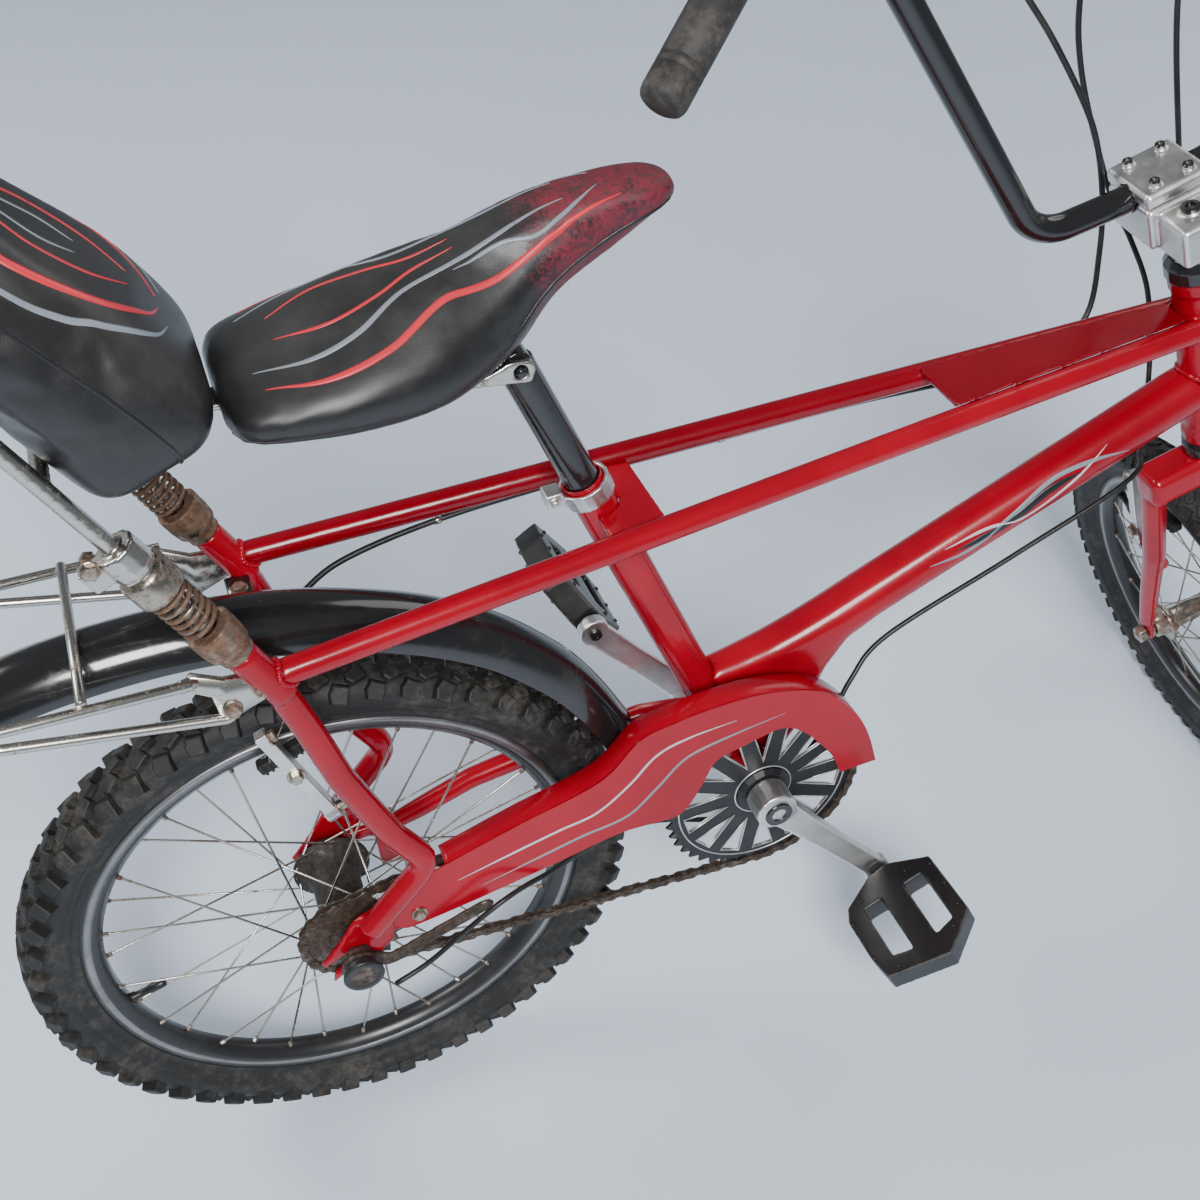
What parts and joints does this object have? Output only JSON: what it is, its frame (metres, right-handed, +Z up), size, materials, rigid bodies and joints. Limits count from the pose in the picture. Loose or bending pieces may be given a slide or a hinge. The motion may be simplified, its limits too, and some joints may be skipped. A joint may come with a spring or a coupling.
{
  "type": "chopper bicycle",
  "caption": "Chopper bicycle with high bars, sprung saddle and backrest, wire rack, chain guard and rim brakes, on its side stand with the front wheel turned.",
  "frame": {"origin": "middle of the bounding box in plan, at floor level under the tyres", "axes": "+X forward, +Y to the rider's left, +Z up, with the bicycle leaning to its left on the stand and the front wheel turned left"},
  "size_m": [1.3392, 0.448, 1.1291],
  "materials": {
    "alloy": "dull cast and forged alloy",
    "black_anodised": "black finish with worn machined braking bands",
    "black_paint": "glossy black enamel with light scratches",
    "dark_red_paint": "glossy dark red enamel on the folded plates and far tubes",
    "plastic": "black moulded plastic",
    "red_paint": "glossy red enamel with small chips",
    "rubber": "dull black rubber and cable casing",
    "rusty_steel": "rusted plated steel",
    "steel": "plated steel with brown rust stains",
    "tyre": "matte black tyre rubber",
    "vinyl": "black padded vinyl with painted red and grey lines and crackled red on the nose"
  },
  "bodies": {
    "frame": {"head_tube": "red_paint", "down_tube": "red_paint", "seat_tube": "red_paint", "top_tube_left": "red_paint", "top_tube_right": "red_paint", "head_gusset": "dark_red_paint", "seat_bridge": "red_paint", "bottom_bracket_shell": "red_paint", "chainstay_left": "red_paint", "chainstay_right": "red_paint", "stay_left": "red_paint", "stay_right": "red_paint", "rear_axle": "plastic", "chain": "steel", "chain_guard": "red_paint", "rear_mudguard": "black_paint", "rack": "steel", "seat_post": "black_paint", "seat_collar": "alloy", "spring_cup_left": "rusty_steel", "spring_cup_right": "rusty_steel", "headset_upper": "plastic", "headset_lower": "plastic", "rear_brake_cable": "rubber", "gear_cable": "rubber"},
    "steering": {"fork": "red_paint", "stem": "alloy", "stem_cap": "alloy", "handlebar": "black_paint", "grip_left": "rubber", "grip_right": "rubber", "lever_bracket_left": "plastic", "lever_bracket_right": "plastic", "front_brake_cable": "rubber", "front_axle": "steel"},
    "front_wheel": {"front_hub": "steel", "front_rim": "black_anodised", "front_tyre": "tyre"},
    "rear_wheel": {"rear_hub": "steel", "rear_rim": "black_anodised", "rear_tyre": "tyre"},
    "sprocket": {"sprocket": "steel"},
    "crankset": {"chainring": "black_paint", "crank_left": "alloy", "crank_right": "alloy"},
    "pedal_left": {"pedal_left": "plastic"},
    "pedal_right": {"pedal_right": "plastic"},
    "brake_lever_left": {"brake_lever_left": "alloy"},
    "brake_lever_right": {"brake_lever_right": "alloy"},
    "front_brake_arm_left": {"front_brake_arm_left": "alloy"},
    "front_brake_arm_right": {"front_brake_arm_right": "alloy"},
    "rear_brake_arm_left": {"rear_brake_arm_left": "alloy"},
    "rear_brake_arm_right": {"rear_brake_arm_right": "alloy"},
    "twist_shifter": {"twist_shifter": "plastic"},
    "seat": {"saddle": "vinyl", "backrest": "vinyl", "sissy_bar": "steel", "spring_left": "rusty_steel", "spring_right": "rusty_steel"},
    "kickstand": {"kickstand": "black_paint"}
  },
  "joints": [
    {"name": "steering", "type": "hinge", "parent": "frame", "child": "steering", "pos_m": [0.55042, -0.018, 0.26067], "axis": [-0.2994, 0.1328, 0.9448], "range_deg": [-173, 0], "deforming": ["rear_brake_cable", "gear_cable"]},
    {"name": "front_wheel_spin", "type": "hinge", "parent": "steering", "child": "front_wheel", "pos_m": [0.57291, 0.0249, 0.19298], "axis": [-0.9523, 0.0189, -0.3045], "continuous": true},
    {"name": "rear_wheel_spin", "type": "hinge", "parent": "frame", "child": "rear_wheel", "pos_m": [-0.33104, -0.01917, 0.25238], "axis": [0, 0.9903, -0.1392], "continuous": true},
    {"name": "crank_spin", "type": "hinge", "parent": "frame", "child": "crankset", "pos_m": [0.03837, -0.01757, 0.26378], "axis": [0, 0.9903, -0.1392], "continuous": true},
    {"name": "sprocket_spin", "type": "hinge", "parent": "frame", "child": "sprocket", "pos_m": [-0.33104, -0.01917, 0.25238], "axis": [0, 0.9903, -0.1392], "continuous": true},
    {"name": "pedal_left_spin", "type": "hinge", "parent": "crankset", "child": "pedal_left", "pos_m": [-0.06757, 0.12967, 0.37735], "axis": [0, 0.9903, -0.1392], "continuous": true},
    {"name": "pedal_right_spin", "type": "hinge", "parent": "crankset", "child": "pedal_right", "pos_m": [0.1443, -0.16481, 0.1502], "axis": [0, 0.9903, -0.1392], "continuous": true},
    {"name": "brake_lever_left", "type": "hinge", "parent": "steering", "child": "brake_lever_left", "pos_m": [0.06236, 0.11142, 0.9308], "axis": [-0.7087, 0.5634, 0.4246], "range_deg": [0, 13], "stiffness_Nm_per_rad": 1.5, "springref_deg": -11.46},
    {"name": "brake_lever_right", "type": "hinge", "parent": "steering", "child": "brake_lever_right", "pos_m": [0.56367, 0.10149, 1.09108], "axis": [-0.3508, -0.5424, -0.7633], "range_deg": [0, 13], "stiffness_Nm_per_rad": 1.5, "springref_deg": -11.46},
    {"name": "rear_brake_arm_left", "type": "hinge", "parent": "frame", "child": "rear_brake_arm_left", "pos_m": [-0.31944, 0.0429, 0.39222], "axis": [0.9408, 0.0472, 0.3356], "range_deg": [0, 1.78]},
    {"name": "rear_brake_arm_right", "type": "hinge", "parent": "frame", "child": "rear_brake_arm_right", "pos_m": [-0.31944, -0.04028, 0.40391], "axis": [-0.9408, -0.0472, -0.3356], "range_deg": [0, 1.78]},
    {"name": "front_brake_arm_left", "type": "hinge", "parent": "steering", "child": "front_brake_arm_left", "pos_m": [0.49005, 0.04552, 0.30564], "axis": [0.0582, 0.991, -0.1208], "range_deg": [0, 4.93]},
    {"name": "front_brake_arm_right", "type": "hinge", "parent": "steering", "child": "front_brake_arm_right", "pos_m": [0.57576, 0.04382, 0.33304], "axis": [-0.0582, -0.991, 0.1208], "range_deg": [0, 4.93]},
    {"name": "twist_shifter", "type": "hinge", "parent": "steering", "child": "twist_shifter", "pos_m": [0.57791, 0.06423, 1.11101], "axis": [-0.8284, 0.5599, -0.0171], "range_deg": [0, 75]},
    {"name": "seat_spring", "type": "hinge", "parent": "frame", "child": "seat", "pos_m": [-0.12962, 0.04651, 0.71972], "axis": [0, 0.9903, -0.1392], "range_deg": [-1.4, 0], "stiffness_Nm_per_rad": 1000, "springref_deg": 1.43, "deforming": ["spring_left", "spring_right"]},
    {"name": "kickstand", "type": "hinge", "parent": "frame", "child": "kickstand", "pos_m": [-0.27491, 0.05422, 0.22847], "axis": [-0.0028, 0.9869, 0.1612], "range_deg": [0, 95]}
  ],
  "couplings": [
    {"joint": "sprocket_spin", "follows": "crank_spin", "ratio": 2.2},
    {"joint": "rear_brake_arm_left", "follows": "brake_lever_left", "ratio": 0.1369},
    {"joint": "rear_brake_arm_right", "follows": "brake_lever_left", "ratio": 0.1369},
    {"joint": "front_brake_arm_left", "follows": "brake_lever_right", "ratio": 0.3792},
    {"joint": "front_brake_arm_right", "follows": "brake_lever_right", "ratio": 0.3792}
  ]
}
